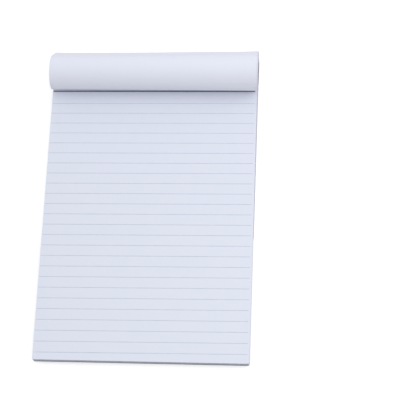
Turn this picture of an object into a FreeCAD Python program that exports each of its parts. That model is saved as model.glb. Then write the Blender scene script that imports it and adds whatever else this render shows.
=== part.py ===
"""Ruled writing pad, head bound, with its cover and first leaves turned over the head.

The pad lies face up. +Y runs up the page to the bound head, +X to the reader's right, +Z up.
The origin is under the middle of the overall box, on the surface that the pad lies on.
All sizes are in millimetres.
"""

import FreeCAD, Part
import math
import os

# Sheets: a leaf runs from the fold at the binding down to its free end
pad_width = 148.0
leaf_length = 210.0
leaf_thickness = 0.1
left_leaf_count = 40
turned_leaf_count = 12
cover_thickness = 0.45
board_thickness = 1.3
corner_radius = 1.2

# Bound head: gum on the stack's edge, cloth tape round it, wire staples through it
binding_depth = 17.6
gum_thickness = 0.25
tape_thickness = 0.4
tape_edge_radius = 0.3
staple_count = 3
staple_spacing = 52.0
staple_from_fold = 9.0
staple_crown = 12.0
staple_clinch = 4.2
wire_width = 0.7
wire_thickness = 0.45
wire_clearance = 0.1

# Turned bundle: a roll above the page, a shoulder over the tape, then down and under the board
roll_radius = 10.2
shoulder_radius = 3.6
tape_clearance = 0.3

# Printed rules on the page, measured up from its free end
rule_pitch = 7.75
rule_width = 0.35
rule_thickness = 0.03
rule_foot_margin = 5.8
rule_head_margin = 6.0
rule_left_margin = 0.5
rule_right_margin = 1.5

# Heights of the stack, from the surface up
turned_thickness = turned_leaf_count * leaf_thickness
bundle_thickness = turned_thickness + cover_thickness
board_z = bundle_thickness + tape_thickness
block_z = board_z + board_thickness
page_z = block_z + left_leaf_count * leaf_thickness
stack_z = page_z + bundle_thickness
tape_z = stack_z + tape_thickness

# Places up the page, first counted from the foot of the pad
fold_at = leaf_length
head_at = fold_at + binding_depth
gum_at = head_at + gum_thickness
tape_at = gum_at + tape_thickness
half_width = pad_width / 2


def slope_past_tape():
    """Angle from +Z to the normal of the bundle's straight run, which just clears the tape."""
    across = tape_at - fold_at
    up = tape_z - (stack_z + roll_radius)
    reach = math.hypot(across, up)
    return math.atan2(across, up) - math.acos((roll_radius - tape_clearance) / reach)


# Centres of the roll, of the shoulder and of the heel, where the bundle turns under the tape
run_angle = slope_past_tape()
roll_z = stack_z + roll_radius
shoulder_at = tape_at - (shoulder_radius - tape_clearance) * math.sin(run_angle)
shoulder_z = tape_z - (shoulder_radius - tape_clearance) * math.cos(run_angle)
heel_radius = shoulder_at + shoulder_radius - tape_at
heel_z = bundle_thickness + heel_radius
back_height = shoulder_z - heel_z
centres_apart = math.hypot(shoulder_at - fold_at, shoulder_z - roll_z)
run_length = math.sqrt(centres_apart ** 2 - (roll_radius - shoulder_radius) ** 2)

# The overall box is centred on the origin
overall_length = tape_at + heel_radius + bundle_thickness
foot_y = -overall_length / 2
fold_y = foot_y + fold_at
head_y = foot_y + head_at
gum_y = foot_y + gum_at
tape_y = foot_y + tape_at
shoulder_y = foot_y + shoulder_at


def bundle_end(depth):
    """Y of a turned sheet's free end, where depth is its distance out from the loop's inside."""
    round_roll = (roll_radius + depth) * (math.pi + run_angle)
    round_shoulder = (shoulder_radius + depth) * (math.pi / 2 - run_angle)
    round_heel = (heel_radius + depth) * math.pi / 2
    bent = round_roll + run_length + round_shoulder + back_height + round_heel
    return tape_y - (leaf_length - bent)


def on_ring(centre_y, centre_z, radius, angle):
    """Point in the YZ plane at an angle from +Z towards +Y."""
    y = centre_y + radius * math.sin(angle)
    z = centre_z + radius * math.cos(angle)
    return FreeCAD.Vector(-half_width, y, z)


def bundle_path(depth, end_y):
    """Edges of one side of a turned layer, from the head round the loop to its free end."""
    def bend(centre_y, centre_z, radius, start, stop):
        angles = (start, (start + stop) / 2, stop)
        return [on_ring(centre_y, centre_z, radius + depth, angle) for angle in angles]

    roll = bend(fold_y, roll_z, roll_radius, -math.pi, run_angle)
    shoulder = bend(shoulder_y, shoulder_z, shoulder_radius, run_angle, math.pi / 2)
    heel = bend(tape_y, heel_z, heel_radius, math.pi / 2, math.pi)
    head = FreeCAD.Vector(-half_width, head_y, stack_z - depth)
    end = FreeCAD.Vector(-half_width, end_y, bundle_thickness - depth)
    edges = [
        Part.makeLine(head, roll[0]),
        Part.Arc(*roll).toShape(),
        Part.makeLine(roll[2], shoulder[0]),
        Part.Arc(*shoulder).toShape(),
        Part.makeLine(shoulder[2], heel[0]),
        Part.Arc(*heel).toShape(),
        Part.makeLine(heel[2], end),
    ]
    return edges, head, end


def across_pad(edges):
    """Solid with an outline in the YZ plane, over the pad's whole width."""
    outline = Part.Wire(Part.__sortEdges__(edges))
    return Part.Face(outline).extrude(FreeCAD.Vector(pad_width, 0, 0))


def round_side_corners(sheet, corner_y):
    """Rounds a sheet's two corners at its free end, as the guillotined stack is rounded by use."""
    def at_corner(edge):
        middle = edge.CenterOfMass
        on_side = abs(abs(middle.x) - half_width) < 1e-6
        return on_side and abs(middle.y - corner_y) < 1e-6

    return sheet.makeFillet(corner_radius, [e for e in sheet.Edges if at_corner(e)])


def turned_layer(inner_depth, outer_depth, inner_end_y, outer_end_y, lip):
    """Turned sheets between two depths, whose ends step back below a lip on the inner side."""
    inner, inner_head, inner_end = bundle_path(inner_depth, inner_end_y)
    outer, outer_head, outer_end = bundle_path(outer_depth, outer_end_y)
    lip_end = inner_end - FreeCAD.Vector(0, 0, lip)
    edges = inner + outer + [Part.makeLine(inner_head, outer_head), Part.makeLine(inner_end, lip_end)]
    if (lip_end - outer_end).Length > 1e-6:
        edges.append(Part.makeLine(lip_end, outer_end))
    return across_pad(edges)


def turned_leaves():
    """Turned leaves, whose free ends step back because the outer ones go further round."""
    ends = [bundle_end(cover_thickness), bundle_end(bundle_thickness)]
    return turned_layer(cover_thickness, bundle_thickness, *ends, leaf_thickness)


def front_cover():
    """Card cover, the innermost sheet of the loop, with a square free end."""
    end_y = bundle_end(0.0)
    cover = turned_layer(0.0, cover_thickness, end_y, end_y, cover_thickness)
    return round_side_corners(cover, end_y)


def flat_stack(low_z, thickness):
    """Flat sheets from the foot of the pad to the head of the binding."""
    corner = FreeCAD.Vector(-half_width, foot_y, low_z)
    stack = Part.makeBox(pad_width, head_at, thickness, corner)
    return round_side_corners(stack, foot_y)


def staple(centre_x, clearance=0.0):
    """One clinched staple, or with a clearance the room that it takes in the stack."""
    width = wire_width + 2 * clearance
    y = fold_y + staple_from_fold - width / 2
    outside = staple_crown / 2 + clearance
    leg = wire_thickness + 2 * clearance
    crown_z = stack_z - wire_thickness

    def bar(low_x, length, low_z, height):
        return Part.makeBox(length, width, height, FreeCAD.Vector(centre_x + low_x, y, low_z))

    crown = bar(-outside, 2 * outside, crown_z, wire_thickness)
    bars = [
        bar(-outside, leg, board_z, stack_z - board_z),
        bar(outside - leg, leg, board_z, stack_z - board_z),
        bar(-outside, staple_clinch + clearance, board_z, wire_thickness),
        bar(outside - staple_clinch - clearance, staple_clinch + clearance, board_z, wire_thickness),
    ]
    return crown.multiFuse(bars).removeSplitter()


def staple_places():
    """X of each staple, spread evenly about the middle of the head."""
    middle = (staple_count - 1) / 2
    return [(i - middle) * staple_spacing for i in range(staple_count)]


def stapled(piece):
    """Cuts the staples' holes, and the grooves of their crowns and clinched ends."""
    return piece.cut([staple(x, wire_clearance) for x in staple_places()])


def binding_gum():
    corner = FreeCAD.Vector(-half_width, head_y, board_z)
    return Part.makeBox(pad_width, gum_thickness, stack_z - board_z, corner)


def binding_tape():
    """Tape folded round the head, as deep on the cover as on the back of the board."""
    depth = tape_at - fold_at
    outside = Part.makeBox(pad_width, depth, tape_z - bundle_thickness,
                           FreeCAD.Vector(-half_width, fold_y, bundle_thickness))
    inside = Part.makeBox(pad_width, depth - tape_thickness, stack_z - board_z,
                          FreeCAD.Vector(-half_width, fold_y, board_z))
    tape = outside.cut(inside)
    back_edges = [e for e in tape.Edges
                  if abs(e.CenterOfMass.y - tape_y) < 1e-6 and abs(e.CenterOfMass.x) < 1e-6]
    return tape.makeFillet(tape_edge_radius, back_edges)


def page_rules():
    """Printed rules as thin bars of ink on the open page."""
    room = leaf_length - rule_foot_margin - rule_head_margin
    count = int(room / rule_pitch) + 1
    length = pad_width - rule_left_margin - rule_right_margin
    rules = []
    for i in range(count):
        y = foot_y + rule_foot_margin + i * rule_pitch - rule_width / 2
        corner = FreeCAD.Vector(-half_width + rule_left_margin, y, page_z)
        rules.append(Part.makeBox(length, rule_width, rule_thickness, corner))
    return Part.makeCompound(rules)


parts = {
    "backboard": stapled(flat_stack(board_z, board_thickness)),
    "writing_block": stapled(flat_stack(block_z, page_z - block_z)),
    "turned_leaves": stapled(turned_leaves()),
    "front_cover": stapled(front_cover()),
    "binding_gum": binding_gum(),
    "binding_tape": binding_tape(),
    "staples": Part.makeCompound([staple(x) for x in staple_places()]),
    "page_rules": page_rules(),
}

os.makedirs("parts", exist_ok=True)
for name, shape in parts.items():
    shape.exportStep(os.path.join("parts", name + ".step"))
    box = shape.BoundBox
    print(f"{name}: {len(shape.Solids)} solids, volume {shape.Volume:.1f}, valid {shape.isValid()},",
          f"Y {box.YMin:.2f} to {box.YMax:.2f}, Z {box.ZMin:.2f} to {box.ZMax:.2f}")
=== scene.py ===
"""Looks of an open writing pad: ruled leaves on a grey board, bound at the head under dark red
tape, with the printed cover and the first leaves rolled over the head and laid under the board.
"""

import math
import random

import bmesh
import bpy
from mathutils import Matrix, Vector


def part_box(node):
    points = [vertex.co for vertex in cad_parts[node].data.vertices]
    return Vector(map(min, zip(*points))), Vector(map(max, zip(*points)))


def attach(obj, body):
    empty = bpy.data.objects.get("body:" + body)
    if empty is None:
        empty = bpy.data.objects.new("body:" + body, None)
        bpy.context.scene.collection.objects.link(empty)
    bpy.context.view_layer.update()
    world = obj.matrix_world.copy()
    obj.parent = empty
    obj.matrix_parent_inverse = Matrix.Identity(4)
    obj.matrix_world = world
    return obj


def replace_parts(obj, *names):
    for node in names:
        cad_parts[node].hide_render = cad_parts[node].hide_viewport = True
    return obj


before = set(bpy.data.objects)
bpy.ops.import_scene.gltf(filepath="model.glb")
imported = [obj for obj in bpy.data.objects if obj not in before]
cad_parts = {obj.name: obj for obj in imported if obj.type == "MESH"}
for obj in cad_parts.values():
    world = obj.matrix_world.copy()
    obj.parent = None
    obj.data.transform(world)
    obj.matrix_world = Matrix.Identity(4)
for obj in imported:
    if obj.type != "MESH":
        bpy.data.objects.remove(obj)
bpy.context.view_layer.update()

MM = 0.001

# Sizes read from the solids
block_low, block_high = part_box("writing_block")
board_low, board_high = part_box("backboard")
tape_low, tape_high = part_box("binding_tape")
cover_low, cover_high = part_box("front_cover")
rules_low, rules_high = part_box("page_rules")

half_width = block_high.x
foot_y = block_low.y
head_y = block_high.y
fold_y = tape_low.y
page_z = block_high.z
bundle = tape_low.z
cover_thickness = bundle - cover_low.z
stack_z = page_z + bundle

# Sizes of the sheets
leaf_pitch = 0.1 * MM
leaf_gap = 0.02 * MM
corner_radius = 1.2 * MM
corner_steps = 5

# The loop that the turned bundle takes. Radii are on its inside, angles from +Z towards +Y
roll_radius = 10.2 * MM
shoulder_radius = 3.6 * MM
tape_clearance = 0.3 * MM
roll_z = stack_z + roll_radius
tape_edge = Vector((tape_high.y - fold_y, tape_high.z - roll_z))
run_angle = (math.atan2(tape_edge.x, tape_edge.y)
             - math.acos((roll_radius - tape_clearance) / tape_edge.length))
shoulder = Vector((tape_high.y, tape_high.z)) - (shoulder_radius - tape_clearance) * Vector(
    (math.sin(run_angle), math.cos(run_angle)))
heel_radius = shoulder.x + shoulder_radius - tape_high.y
run_length = math.sqrt((shoulder - Vector((fold_y, roll_z))).length_squared
                       - (roll_radius - shoulder_radius) ** 2)
sheet_length = head_y - foot_y

# Each stretch of the loop: its length if straight, or its turn and radius, and its rows of points
loop = (
    ("head", head_y - fold_y, 0.0, 2),
    ("roll", math.pi + run_angle, roll_radius, 60),
    ("run", run_length, 0.0, 12),
    ("shoulder", math.pi / 2 - run_angle, shoulder_radius, 8),
    ("back", shoulder.y - bundle - heel_radius, 0.0, 4),
    ("heel", math.pi / 2, heel_radius, 10),
    ("flat", sheet_length, 0.0, 14),
)

# The turned sheets lie looser in the roll than bound: by a share of their depth, and by a length
# that grows towards the reader's right. It sets in between two distances from the bound head
roll_looseness = 0.20
right_looseness = 1.9 * MM
right_growth = 1.2
loose_from = 12.0 * MM
loose_until = 36.0 * MM

# They are slightly wavy, and flared towards both ends of the roll
roll_waviness = 0.06 * MM
wave_across = 31.0 * MM
wave_along = 47.0 * MM
ripple_across = 13.0 * MM
ripple_start = 0.7
roll_flare = 0.25 * MM
flare_reach = 18.0 * MM

# The inner sheets stand out to the right, and the cover is narrower there than its leaves
side_creep = 1.5 * MM
creep_reach = 14.0 * MM
cover_trim = 1.2 * MM

# How far single leaves lie out of true, how far the block leans left, and the board's worn edge
turned_askew = 0.22 * MM
flat_askew = Vector((0.15, 0.18)) * MM
block_lean = 0.6 * MM
board_wear = 0.16 * MM

# Printed rules, slightly out of square with the trimmed edges, and a dark line of painted shadow along
# the crease under the roll
rule_width = 0.35 * MM
rule_thickness = 0.012 * MM
rule_count = 26
# A dark line of painted shadow on the page right under the roll's edge, standing in for the crease's
# shade
painted_shade_line_width = 1.05 * MM
painted_shade_line_rise = 1.7 * MM
rule_skew = 0.0088

# The camera of the photograph: where it stands, how it is turned and its focal length
camera_place = Vector((0.1274, -0.4141, 1.0823))
camera_turn = (21.182, 4.544, 0.774)
camera_lens = 148.5


# Small helpers

def finish_mesh(bm, name, materials, sharp_angle=35.0):
    """Makes a finished piece of a bmesh: outward faces, smooth but for its sharp edges."""
    bmesh.ops.recalc_face_normals(bm, faces=bm.faces[:])
    for face in bm.faces:
        face.smooth = True
    for edge in bm.edges:
        edge.smooth = edge.is_manifold and edge.calc_face_angle(math.pi) < math.radians(sharp_angle)
    mesh = bpy.data.meshes.new(name)
    bm.to_mesh(mesh)
    bm.free()
    for material in materials:
        mesh.materials.append(material)
    piece = bpy.data.objects.new(name, mesh)
    bpy.context.scene.collection.objects.link(piece)
    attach(piece, "root")
    return piece


def add_to(bm, extra):
    """Adds a bmesh to another one and frees it."""
    scratch = bpy.data.meshes.new("scratch")
    extra.to_mesh(scratch)
    extra.free()
    bm.from_mesh(scratch)
    bpy.data.meshes.remove(scratch)


# The turned bundle

def stretch_ends(depth):
    """Distance along a sheet at which each stretch of the loop ends, at a depth out from it."""
    ends = {}
    travel = 0.0
    for name, amount, radius, rows in loop:
        travel += amount * (radius + depth) if radius else amount
        ends[name] = travel
    return ends


def on_loop(travel, depth):
    """Place on the loop's inside and its outward direction, as (y, z), at a distance along a
    sheet that lies at a depth."""
    place = Vector((head_y, stack_z))
    angle = -math.pi
    for name, amount, radius, rows in loop:
        pace = radius + depth if radius else 1.0
        part = min(travel / pace, amount)
        if radius:
            place += radius * (outward(angle + part) - outward(angle))
            angle += part
        else:
            place += part * Vector((math.cos(angle), -math.sin(angle)))
        travel -= part * pace
        if travel < 1e-9:
            break
    return place, outward(angle)


def outward(angle):
    return Vector((math.sin(angle), math.cos(angle)))


def stations(depth):
    """Distances along a sheet at which it has a row of points, closer where it bends."""
    ends = stretch_ends(depth)
    stops = [0.0] + [min(end, sheet_length) for end in ends.values()]
    rows = [0.0]
    for start, stop, stretch in zip(stops, stops[1:], loop):
        count = stretch[3]
        rows += [start + (stop - start) * (i + 1) / count for i in range(count)]
    return rows


def smooth_rise(value, start, end):
    """0 before start, 1 after end and a smooth rise between."""
    share = min(1.0, max(0.0, (value - start) / (end - start)))
    return share * share * (3 - 2 * share)


def spread(x, travel, depth):
    """How far a sheet stands out from its tight place: looser, wavy and flared in the roll."""
    ends = stretch_ends(depth)
    rise = smooth_rise(travel, ends["head"] + loose_from, ends["head"] + loose_until)
    fall = 1 - smooth_rise(travel, ends["run"], ends["back"])
    to_right = (x / half_width + 1) / 2
    wave = math.sin(x / wave_across + travel / wave_along)
    ripple = math.sin(x / ripple_across - ripple_start)
    flare = max(0.0, 1 - (half_width - abs(x)) / flare_reach) ** 2
    loose = roll_looseness * depth + right_looseness * to_right ** right_growth
    return rise * fall * (loose + roll_waviness * wave * ripple + roll_flare * flare)


def creep(travel, depth):
    """How far the inner sheets stand out to the right in the roll."""
    ends = stretch_ends(depth)
    rise = smooth_rise(travel, ends["head"], ends["head"] + creep_reach)
    fall = 1 - smooth_rise(travel, ends["roll"], ends["back"])
    return side_creep * (1 - depth / bundle) * rise * fall


def bent_sheet(depth, thickness, shift, trim=0.0, columns=22):
    """One sheet, cut flat with its free corners rounded, and then bent round the loop. Its
    materials are for its inner side, its cut edges and its outer side."""
    rows = stations(depth)
    last = len(rows) - 1
    sheet = bmesh.new()
    bmesh.ops.create_grid(sheet, x_segments=columns, y_segments=last, size=0.5)
    for v in sheet.verts:
        row = round((v.co.y + 0.5) * last)
        v.co = Vector((v.co.x * 2 * half_width, rows[row], -thickness / 2))
    grown = bmesh.ops.extrude_face_region(sheet, geom=sheet.faces[:])["geom"]
    raised = [g for g in grown if isinstance(g, bmesh.types.BMVert)]
    bmesh.ops.translate(sheet, verts=raised, vec=(0, 0, thickness))
    bmesh.ops.recalc_face_normals(sheet, faces=sheet.faces[:])
    corners = [e for e in sheet.edges if is_corner(e, rows[last])]
    round_edges(sheet, corners)
    uv = sheet.loops.layers.uv.new("sheet")
    for face in sheet.faces:
        face.normal_update()
        face.material_index = 1 if abs(face.normal.z) < 0.5 else 2 * (face.normal.z > 0)
        for corner in face.loops:
            corner[uv].uv = (corner.vert.co.x + half_width, corner.vert.co.y)
    for v in sheet.verts:
        x, travel, side = v.co
        inside, out = on_loop(travel, depth)
        stand = depth + side + spread(x, travel, depth)
        side_x = x + shift + creep(travel, depth) - trim * (x / half_width + 1) / 2
        v.co = Vector((side_x, inside.x + stand * out.x, inside.y + stand * out.y))
    return sheet


def is_corner(edge, y):
    """Whether an edge of a flat sheet stands upright at one of its two corners at y."""
    a, b = edge.verts
    upright = abs(a.co.z - b.co.z) > 1e-9
    at_side = all(abs(abs(v.co.x) - half_width) < 1e-6 and abs(v.co.y - y) < 1e-6 for v in (a, b))
    return upright and at_side


def round_edges(bm, edges):
    bmesh.ops.bevel(bm, geom=edges, offset=corner_radius, offset_type="OFFSET", affect="EDGES",
                    segments=corner_steps, profile=0.5, material=-1, clamp_overlap=False)


def mark_cut_edges(sheet):
    """Gives the cut edges of a flat sheet the second material."""
    for face in sheet.faces:
        face.normal_update()
        face.material_index = 1 if abs(face.normal.z) < 0.5 else 0


def turned_leaves(paper, cut):
    """The turned leaves one by one, each shifted a little sideways."""
    draw = random.Random(7)
    count = round((bundle - cover_thickness) / leaf_pitch)
    leaves = bmesh.new()
    for i in range(count):
        depth = cover_thickness + (i + 0.5) * leaf_pitch
        shift = draw.uniform(-turned_askew, turned_askew)
        add_to(leaves, bent_sheet(depth, leaf_pitch - leaf_gap, shift))
    piece = finish_mesh(leaves, "turned_leaf_bundle", [paper, cut, paper])
    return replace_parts(piece, "turned_leaves")


def turned_cover(print_side, plain_side):
    """The card cover on the inside of the loop, its printed side inwards."""
    sheet = bent_sheet(cover_thickness / 2, cover_thickness, 0.0, cover_trim)
    materials = [print_side, plain_side, plain_side]
    piece = finish_mesh(sheet, "turned_cover", materials)
    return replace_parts(piece, "front_cover")


# The flat leaves, which lie a little askew under the roll

def lean(y):
    """How far the block lies to the left, from nothing at its foot."""
    return block_lean * (y - foot_y) / sheet_length


def flat_leaf(low_z, shift):
    """One leaf of the block, its foot corners rounded, lying a little askew."""
    leaf = bmesh.new()
    bmesh.ops.create_grid(leaf, x_segments=1, y_segments=1, size=0.5)
    for v in leaf.verts:
        v.co = Vector((v.co.x * 2 * half_width, foot_y + (v.co.y + 0.5) * sheet_length, low_z))
    grown = bmesh.ops.extrude_face_region(leaf, geom=leaf.faces[:])["geom"]
    raised = [g for g in grown if isinstance(g, bmesh.types.BMVert)]
    bmesh.ops.translate(leaf, verts=raised, vec=(0, 0, leaf_pitch - leaf_gap))
    round_edges(leaf, [e for e in leaf.edges if is_corner(e, foot_y)])
    mark_cut_edges(leaf)
    for v in leaf.verts:
        v.co.x -= lean(v.co.y)
        v.co += shift * (head_y - v.co.y) / sheet_length
    return leaf


def ruled_leaves(paper, cut):
    """The leaves left on the pad. The open page, the last of them, lies true."""
    draw = random.Random(11)
    count = round((page_z - block_low.z) / leaf_pitch)
    leaves = bmesh.new()
    for i in range(count):
        shift = Vector((draw.uniform(-1, 1) * flat_askew.x, draw.uniform(-1, 1) * flat_askew.y, 0.0))
        if i == count - 1:
            shift.zero()
        add_to(leaves, flat_leaf(block_low.z + i * leaf_pitch, shift))
    piece = finish_mesh(leaves, "ruled_leaf_block", [paper, cut])
    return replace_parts(piece, "writing_block")


def page_strip(y, width):
    """One strip on the open page, a printed rule or the painted shadow line, slightly out of square
    with the trimmed edges.
    """
    rule = bmesh.new()
    bmesh.ops.create_cube(rule, size=1.0)
    size = (rules_high.x - rules_low.x, width, 2 * rule_thickness)
    bmesh.ops.scale(rule, vec=size, verts=rule.verts[:])
    middle = ((rules_high.x + rules_low.x) / 2, y, page_z - leaf_gap)
    bmesh.ops.translate(rule, vec=middle, verts=rule.verts[:])
    for v in rule.verts:
        v.co.x -= lean(y)
        v.co.y += rule_skew * v.co.x
    return rule


def rules_and_shadow_line(ink, painted_shade_ink):
    """The fine printed rules, and a dark line of painted shadow at the head of the page, under the
    roll's edge.
    """
    pitch = (rules_high.y - rules_low.y - rule_width) / (rule_count - 1)
    rules = bmesh.new()
    for i in range(rule_count - 1):
        add_to(rules, page_strip(rules_low.y + rule_width / 2 + i * pitch, rule_width))
    fine = len(rules.faces)
    # The last strip is painted shadow under the roll's edge, not a printed rule
    add_to(rules, page_strip(rules_high.y + painted_shade_line_rise, painted_shade_line_width))
    rules.faces.ensure_lookup_table()
    for face in rules.faces[fine:]:
        face.material_index = 1
    piece = finish_mesh(rules, "rules_and_shadow_line", [ink, painted_shade_ink])
    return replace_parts(piece, "page_rules")


def grey_board(board):
    """The backboard, its corners rounded and its edges slightly crushed."""
    bm = bmesh.new()
    bmesh.ops.create_cube(bm, size=1.0)
    size = board_high - board_low
    bmesh.ops.scale(bm, vec=size, verts=bm.verts[:])
    bmesh.ops.translate(bm, vec=(board_low + board_high) / 2, verts=bm.verts[:])
    round_edges(bm, [e for e in bm.edges if is_corner(e, foot_y)])
    rims = [e for e in bm.edges if e.calc_face_angle(0) > math.radians(60)]
    bmesh.ops.bevel(bm, geom=rims, offset=board_wear, offset_type="OFFSET", affect="EDGES",
                    segments=2, profile=0.5, material=-1, clamp_overlap=True)
    for v in bm.verts:
        v.co.x -= lean(v.co.y)
    piece = finish_mesh(bm, "grey_backboard", [board])
    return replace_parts(piece, "backboard")


# Materials

class Nodes:
    """A short way to add and join nodes in one tree."""

    def __init__(self, tree):
        self.tree = tree

    def add(self, kind, values=None, **settings):
        node = self.tree.nodes.new(kind)
        for key, value in settings.items():
            setattr(node, key, value)
        for key, value in (values or {}).items():
            if isinstance(value, bpy.types.NodeSocket):
                self.join(value, node.inputs[key])
            else:
                node.inputs[key].default_value = value
        return node

    def math(self, operation, a, b=0.0, c=0.0):
        values = {0: a, 1: b} if operation != "MULTIPLY_ADD" else {0: a, 1: b, 2: c}
        return self.add("ShaderNodeMath", values, operation=operation).outputs[0]

    def vector(self, operation, a, b=None):
        """Adds, subtracts or floors vectors, or scales one by a number."""
        values = {0: a}
        if b is not None:
            values["Scale" if operation == "SCALE" else 1] = b
        return self.add("ShaderNodeVectorMath", values, operation=operation).outputs[0]

    def mix(self, factor, a, b, blend="MIX"):
        """Mixes two colours by a factor."""
        values = {0: factor, 6: a, 7: b}
        return self.add("ShaderNodeMix", values, data_type="RGBA", blend_type=blend).outputs[2]

    def step(self, value, low, high):
        """0 below low, 1 above high and a smooth rise between."""
        values = {0: value, 1: low, 2: high}
        return self.add("ShaderNodeMapRange", values, interpolation_type="SMOOTHSTEP").outputs[0]

    def join(self, output, socket):
        self.tree.links.new(output, socket)

    def place(self):
        """The point on the piece that is shaded, in the pad's own frame."""
        return self.add("ShaderNodeTexCoord").outputs["Object"]

    def seen_directly(self):
        """1 where a ray comes from the camera, a reflection or a clear piece, and otherwise 0."""
        path = self.add("ShaderNodeLightPath").outputs
        mirrored = self.math("MAXIMUM", path["Is Glossy Ray"], path["Is Transmission Ray"])
        return self.math("MAXIMUM", path["Is Camera Ray"], mirrored)

    def noise(self, vector, scale, detail=2.0, roughness=0.5):
        values = {"Vector": vector, "Scale": scale, "Detail": detail, "Roughness": roughness}
        return self.add("ShaderNodeTexNoise", values).outputs[0]


def colour(red, green, blue):
    return (red, green, blue, 1.0)


def new_group(name, inputs, outputs):
    """An empty node group with typed sockets: its nodes, its input sockets and its output node."""
    tree = bpy.data.node_groups.new(name, "ShaderNodeTree")
    for socket, (kind, default) in inputs.items():
        made = tree.interface.new_socket(socket, in_out="INPUT", socket_type="NodeSocket" + kind)
        if default is not None:
            made.default_value = default
    for socket, kind in outputs.items():
        tree.interface.new_socket(socket, in_out="OUTPUT", socket_type="NodeSocket" + kind)
    nodes = Nodes(tree)
    given = nodes.add("NodeGroupInput").outputs
    result = nodes.add("NodeGroupOutput")
    return tree, nodes, given, result


def fibre_group():
    """Pulp of paper and board: cloudy tone, short fibres and dark flecks."""
    inputs = {
        "Vector": ("Vector", None),
        "Colour": ("Color", colour(0.8, 0.8, 0.8)),
        "Fleck Colour": ("Color", colour(0.3, 0.3, 0.3)),
        "Cloud": ("Float", 0.02),
        "Fleck": ("Float", 0.0),
        "Leaf Tone": ("Float", 0.0),
    }
    outputs = {"Colour": "Color", "Height": "Float"}
    tree, nodes, given, result = new_group("paper pulp", inputs, outputs)
    place = given["Vector"]
    cloud = nodes.noise(place, 90.0, 3.0, 0.6)
    mottle = nodes.noise(place, 900.0, 2.0, 0.6)
    stretched = nodes.add("ShaderNodeMapping", {"Vector": place, "Scale": (1.0, 4.5, 4.5)}).outputs[0]
    fibres = nodes.noise(stretched, 1500.0, 3.0, 0.65)
    split = nodes.add("ShaderNodeSeparateXYZ", {0: place})
    leaf = nodes.math("FLOOR", nodes.math("DIVIDE", split.outputs[2], leaf_pitch))
    tone = nodes.add("ShaderNodeTexWhiteNoise", {"W": leaf}, noise_dimensions="1D").outputs[0]
    tone = nodes.math("MULTIPLY", nodes.math("SUBTRACT", tone, 0.5), given["Leaf Tone"])
    mixed = nodes.math("MULTIPLY_ADD", cloud, 0.65, nodes.math("MULTIPLY", mottle, 0.35))
    mixed = nodes.math("MULTIPLY", nodes.math("SUBTRACT", mixed, 0.5), given["Cloud"])
    light = nodes.math("ADD", nodes.math("ADD", mixed, tone), 1.0)
    level = nodes.add("ShaderNodeCombineColor", {0: light, 1: light, 2: light}).outputs[0]
    shaded = nodes.mix(1.0, given["Colour"], level, "MULTIPLY")
    spots = nodes.add("ShaderNodeTexVoronoi", {"Vector": stretched, "Scale": 420.0}).outputs[0]
    spots = nodes.math("SUBTRACT", 1.0, nodes.step(spots, 0.05, 0.16))
    spots = nodes.math("MULTIPLY", spots, given["Fleck"])
    nodes.join(nodes.mix(spots, shaded, given["Fleck Colour"]), result.inputs["Colour"])
    nodes.join(nodes.math("MULTIPLY_ADD", mottle, 0.6, fibres), result.inputs["Height"])
    return tree


def grain_group():
    """Embossed leather-look grain: cells with worn tops and darker creases."""
    inputs = {
        "Vector": ("Vector", None),
        "Colour": ("Color", colour(0.3, 0.02, 0.04)),
        "Crease Colour": ("Color", colour(0.1, 0.01, 0.02)),
        "Scale": ("Float", 900.0),
    }
    outputs = {"Colour": "Color", "Roughness": "Float", "Height": "Float"}
    tree, nodes, given, result = new_group("leather grain", inputs, outputs)
    warp = nodes.add("ShaderNodeTexNoise", {"Vector": given["Vector"], "Scale": 320.0}).outputs[1]
    drift = nodes.vector("SCALE", warp, 1.2 * MM)
    place = nodes.vector("ADD", given["Vector"], drift)
    cells = nodes.add("ShaderNodeTexVoronoi", {"Vector": place, "Scale": given["Scale"]},
                      feature="DISTANCE_TO_EDGE").outputs[0]
    tops = nodes.step(cells, 0.02, 0.22)
    pores = nodes.noise(given["Vector"], 3200.0, 2.0)
    wear = nodes.noise(given["Vector"], 60.0, 4.0, 0.6)
    base = nodes.mix(tops, given["Crease Colour"], given["Colour"])
    rubbed = nodes.math("MULTIPLY", nodes.step(wear, 0.5, 0.75), 0.25)
    nodes.join(nodes.mix(rubbed, base, colour(0.42, 0.06, 0.08)), result.inputs["Colour"])
    rough = nodes.math("MULTIPLY_ADD", tops, -0.14, 0.62)
    nodes.join(nodes.math("MULTIPLY_ADD", pores, 0.12, rough), result.inputs["Roughness"])
    nodes.join(nodes.math("MULTIPLY_ADD", pores, 0.18, tops), result.inputs["Height"])
    return tree


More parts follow.
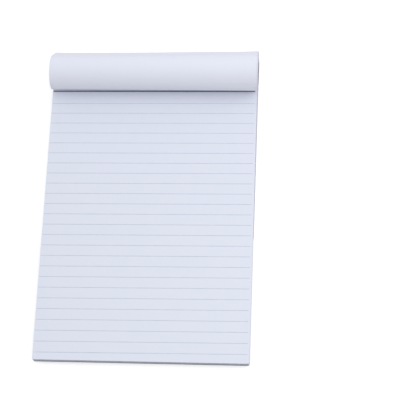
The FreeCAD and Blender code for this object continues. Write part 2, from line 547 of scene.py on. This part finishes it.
def tile_group():
    """A repeating print of patterned tiles: eight-petalled rosettes turn about with crosses."""
    inputs = {"Vector": ("Vector", None), "Tile": ("Float", 37 * MM)}
    tree, nodes, given, result = new_group("tile print", inputs, {"Colour": "Color"})
    yellow, teal = colour(0.93, 0.58, 0.005), colour(0.0, 0.36, 0.42)
    white, pink = colour(0.86, 0.88, 0.86), colour(0.6, 0.035, 0.14)
    scaled = nodes.vector("SCALE", given["Vector"], nodes.math("DIVIDE", 1.0, given["Tile"]))
    cell = nodes.vector("FLOOR", scaled)
    local = nodes.add("ShaderNodeSeparateXYZ", {0: nodes.vector("SUBTRACT", scaled, cell)}).outputs
    x = nodes.math("SUBTRACT", local[0], 0.5)
    y = nodes.math("SUBTRACT", local[1], 0.5)
    angle = nodes.math("ARCTAN2", y, x)

    def distance(across, up):
        squares = nodes.math("MULTIPLY_ADD", across, across, nodes.math("MULTIPLY", up, up))
        return nodes.math("SQRT", squares)

    radius = distance(x, y)

    def lobes(count, phase, depth):
        wave = nodes.math("COSINE", nodes.math("MULTIPLY_ADD", angle, float(count), phase))
        return nodes.math("MULTIPLY_ADD", wave, depth, radius)

    def inside(value, edge):
        return nodes.math("SUBTRACT", 1.0, nodes.step(value, edge - 0.008, edge + 0.008))

    beside, above = nodes.math("ABSOLUTE", x), nodes.math("ABSOLUTE", y)
    corner = distance(nodes.math("SUBTRACT", 0.5, beside), nodes.math("SUBTRACT", 0.5, above))
    rose = nodes.mix(inside(lobes(8, 0.0, -0.035), 0.40), yellow, white)
    rose = nodes.mix(inside(lobes(8, 0.0, -0.035), 0.355), rose, teal)
    rose = nodes.mix(inside(lobes(8, math.pi, -0.03), 0.30), rose, white)
    rose = nodes.mix(inside(lobes(8, 0.0, -0.05), 0.21), rose, yellow)
    rose = nodes.mix(inside(lobes(8, math.pi, -0.03), 0.13), rose, pink)
    rose = nodes.mix(inside(radius, 0.045), rose, yellow)
    rose = nodes.mix(inside(corner, 0.13), rose, teal)
    rose = nodes.mix(inside(corner, 0.07), rose, white)
    cross = nodes.mix(inside(lobes(4, math.pi, -0.12), 0.34), teal, white)
    cross = nodes.mix(inside(lobes(4, math.pi, -0.12), 0.28), cross, teal)
    cross = nodes.mix(inside(lobes(4, 0.0, -0.08), 0.19), cross, yellow)
    cross = nodes.mix(inside(radius, 0.09), cross, pink)
    cross = nodes.mix(inside(corner, 0.2), cross, white)
    cross = nodes.mix(inside(corner, 0.13), cross, yellow)
    cells = nodes.add("ShaderNodeSeparateXYZ", {0: cell}).outputs
    odd = nodes.math("PINGPONG", nodes.math("ADD", cells[0], cells[1]), 1.0)
    design = nodes.mix(odd, rose, cross)
    border = nodes.step(nodes.math("MAXIMUM", beside, above), 0.474, 0.480)
    nodes.join(nodes.mix(border, design, white), result.inputs["Colour"])
    return tree


def new_material(name, roughness, **settings):
    """A material with one Principled shader whose constants are set on its own sockets."""
    material = bpy.data.materials.new(name)
    material.use_nodes = True
    nodes = Nodes(material.node_tree)
    shader = material.node_tree.nodes["Principled BSDF"]
    shader.inputs["Roughness"].default_value = roughness
    for socket, value in settings.items():
        shader.inputs[socket.replace("_", " ")].default_value = value
    return material, nodes, shader


def bump(nodes, shader, height, distance):
    node = nodes.add("ShaderNodeBump", {"Height": height, "Distance": distance})
    nodes.join(node.outputs[0], shader.inputs["Normal"])


def pulp_material(name, group, base, fleck, cloud, flecks=0.0, leaf_tone=0.0, relief=0.02 * MM):
    """Paper or board of one colour."""
    material, nodes, shader = new_material(name, 0.9, Specular_IOR_Level=0.3)
    values = {
        "Vector": nodes.place(),
        "Colour": base,
        "Fleck Colour": fleck,
        "Cloud": cloud,
        "Fleck": flecks,
        "Leaf Tone": leaf_tone,
    }
    pulp = nodes.add("ShaderNodeGroup", values, node_tree=group).outputs
    nodes.join(pulp["Colour"], shader.inputs["Base Color"])
    bump(nodes, shader, pulp["Height"], relief)
    return material


def ink_material(name, pale, full):
    """Printing ink, a little uneven along each rule. It also colours the painted shadow line under the
    roll.
    """
    material, nodes, shader = new_material(name, 0.85, Specular_IOR_Level=0.3)
    place = nodes.place()
    press = nodes.noise(place, 140.0, 3.0, 0.6)
    grain = nodes.noise(place, 4000.0, 2.0)
    weight = nodes.step(nodes.math("MULTIPLY_ADD", grain, 0.5, press), 0.45, 1.05)
    nodes.join(nodes.mix(weight, full, pale), shader.inputs["Base Color"])
    bump(nodes, shader, grain, 0.01 * MM)
    return material


def tape_material(group):
    """Dark red leather-look binding tape."""
    material, nodes, shader = new_material("binding_tape", 0.5, Specular_IOR_Level=0.45)
    values = {
        "Vector": nodes.place(),
        "Colour": colour(0.2, 0.012, 0.024),
        "Crease Colour": colour(0.07, 0.004, 0.01),
        "Scale": 1100.0,
    }
    grain = nodes.add("ShaderNodeGroup", values, node_tree=group).outputs
    nodes.join(grain["Colour"], shader.inputs["Base Color"])
    nodes.join(grain["Roughness"], shader.inputs["Roughness"])
    bump(nodes, shader, grain["Height"], 0.05 * MM)
    return material


def print_material(group):
    """Printed side of the cover under a satin varnish."""
    material, nodes, shader = new_material("cover_print", 0.42, Coat_Weight=0.25, Coat_Roughness=0.3)
    flat = nodes.add("ShaderNodeUVMap", uv_map="sheet").outputs[0]
    tiles = nodes.add("ShaderNodeGroup", {"Vector": flat}, node_tree=group).outputs["Colour"]
    dots = nodes.noise(flat, 2600.0, 2.0)
    worn = nodes.mix(nodes.math("MULTIPLY", dots, 0.08), tiles, colour(0.8, 0.8, 0.78))
    nodes.join(worn, shader.inputs["Base Color"])
    bump(nodes, shader, dots, 0.008 * MM)
    return material


def gum_material():
    """Dried padding gum, milky and slightly uneven."""
    material, nodes, shader = new_material("padding_gum", 0.45)
    streaks = nodes.noise(nodes.place(), 260.0, 4.0, 0.6)
    dried = nodes.mix(streaks, colour(0.62, 0.56, 0.42), colour(0.78, 0.74, 0.64))
    nodes.join(dried, shader.inputs["Base Color"])
    bump(nodes, shader, streaks, 0.08 * MM)
    return material


def wire_material():
    """Galvanised staple wire, drawn along its length."""
    material, nodes, shader = new_material("staple_wire", 0.32, Metallic=1.0)
    values = {"Vector": nodes.place(), "Scale": (0.05, 1.0, 1.0)}
    drawn = nodes.add("ShaderNodeMapping", values).outputs[0]
    lines = nodes.noise(drawn, 9000.0, 2.0)
    zinc = nodes.mix(lines, colour(0.46, 0.46, 0.47), colour(0.62, 0.62, 0.63))
    nodes.join(zinc, shader.inputs["Base Color"])
    bump(nodes, shader, lines, 0.01 * MM)
    return material


def dress(node, material):
    """Gives a solid that stays in sight its material."""
    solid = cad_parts[node]
    solid.data.materials.clear()
    solid.data.materials.append(material)


# Surroundings

def white_floor():
    """A large pale floor, white to the camera and still taking the pad's shadow."""
    bm = bmesh.new()
    bmesh.ops.create_grid(bm, x_segments=1, y_segments=1, size=4.0)
    mesh = bpy.data.meshes.new("floor")
    bm.to_mesh(mesh)
    bm.free()
    floor = bpy.data.objects.new("floor", mesh)
    bpy.context.scene.collection.objects.link(floor)
    material = bpy.data.materials.new("floor")
    material.use_nodes = True
    nodes = Nodes(material.node_tree)
    nodes.tree.nodes.remove(nodes.tree.nodes["Principled BSDF"])
    direct = nodes.seen_directly()
    matt = nodes.add("ShaderNodeBsdfDiffuse", {"Color": colour(0.82, 0.82, 0.82)}).outputs[0]
    glow = nodes.add("ShaderNodeEmission", {"Strength": nodes.math("MULTIPLY", direct, 0.5)}).outputs[0]
    both = nodes.add("ShaderNodeAddShader", {0: matt, 1: glow}).outputs[0]
    nodes.join(both, nodes.tree.nodes["Material Output"].inputs["Surface"])
    mesh.materials.append(material)


def pale_world(level, leaning, zenith, horizon):
    """A broad sky that lights at a level, more so from where it leans. It is a little cooler above
    than at the horizon, and plain white to the camera."""
    world = bpy.data.worlds.new("studio")
    world.use_nodes = True
    bpy.context.scene.world = world
    nodes = Nodes(world.node_tree)
    direct = nodes.seen_directly()
    ray = nodes.add("ShaderNodeTexCoord").outputs["Generated"]
    values = {0: ray, 1: leaning}
    tilt = nodes.add("ShaderNodeVectorMath", values, operation="DOT_PRODUCT").outputs["Value"]
    light = nodes.math("MULTIPLY_ADD", tilt, level, level)
    height = nodes.add("ShaderNodeSeparateXYZ", {0: ray}).outputs[2]
    tint = nodes.mix(nodes.step(height, 0.0, 0.9), horizon, zenith)
    back = world.node_tree.nodes["Background"]
    nodes.join(nodes.mix(direct, tint, colour(1, 1, 1)), back.inputs["Color"])
    nodes.join(nodes.math("MAXIMUM", direct, light), back.inputs["Strength"])


def soft_light(name, place, aim, side, power):
    """A square soft lamp that faces a point."""
    light = bpy.data.lights.new(name, "AREA")
    light.size = side
    light.energy = power
    lamp = bpy.data.objects.new(name, light)
    lamp.location = place
    lamp.rotation_euler = (Vector(aim) - Vector(place)).to_track_quat("-Z", "Y").to_euler()
    bpy.context.scene.collection.objects.link(lamp)


def photo_camera():
    """The camera at the photograph's viewing angle: it leans up the page, turns and rolls."""
    data = bpy.data.cameras.new("camera")
    data.lens = camera_lens
    data.sensor_width = 36.0
    data.clip_start = 0.05
    data.clip_end = 20.0
    camera = bpy.data.objects.new("camera", data)
    facing = Matrix.Identity(4)
    for angle, axis in zip(camera_turn, "XYZ"):
        facing = facing @ Matrix.Rotation(math.radians(angle), 4, axis)
    camera.matrix_world = Matrix.Translation(camera_place) @ facing
    bpy.context.scene.collection.objects.link(camera)
    bpy.context.scene.camera = camera


# Everything together

pulp = fibre_group()
page_paper = pulp_material("page_paper", pulp, colour(0.762, 0.787, 0.868), colour(0.6, 0.6, 0.62),
                           cloud=0.035)
blank_paper = pulp_material("blank_paper", pulp, colour(0.792, 0.812, 0.89), colour(0.6, 0.6, 0.62),
                            cloud=0.03)
plain_card = pulp_material("plain_card", pulp, colour(0.72, 0.72, 0.69), colour(0.45, 0.42, 0.38),
                           cloud=0.06, flecks=0.25, relief=0.03 * MM)
# Cut edges of the leaf block, painted dark grey: painted shade on the stack's foot and sides, with a
# random tone per leaf
leaf_edges_painted_shade = pulp_material("leaf_edges_painted_shade", pulp, colour(0.25, 0.255, 0.28), colour(0.2, 0.2, 0.2),
                           cloud=0.03, leaf_tone=0.35)
# Cut edges of the turned leaves, painted greyer than their paper: painted shade at the ends of the roll
turned_edges_painted_shade = pulp_material("turned_edges_painted_shade", pulp, colour(0.62, 0.60, 0.64), colour(0.3, 0.3, 0.3),
                             cloud=0.03)
board_pulp = pulp_material("board_pulp", pulp, colour(0.21, 0.205, 0.20), colour(0.12, 0.11, 0.10),
                           cloud=0.22, flecks=0.5, leaf_tone=0.08, relief=0.06 * MM)

turned_leaves(blank_paper, turned_edges_painted_shade)
turned_cover(print_material(tile_group()), plain_card)
ruled_leaves(page_paper, leaf_edges_painted_shade)
# The second ink is painted shadow: the dark line along the crease under the roll
rules_and_shadow_line(ink_material("rule_ink", colour(0.59, 0.62, 0.71), colour(0.48, 0.515, 0.61)),
              ink_material("painted_crease_shadow", colour(0.17, 0.185, 0.24), colour(0.12, 0.135, 0.18)))
grey_board(board_pulp)
dress("binding_tape", tape_material(grain_group()))
dress("binding_gum", gum_material())
dress("staples", wire_material())

white_floor()
pale_world(level=0.59, leaning=(0.0, 0.30, 0.60), zenith=colour(0.955, 0.99, 1.05),
           horizon=colour(1.05, 0.985, 0.94))
soft_light("side", place=(0.45, 0.05, 0.55), aim=(0, 0.03, 0), side=0.5, power=1.2)
photo_camera()

bpy.context.scene.view_settings.view_transform = "Standard"
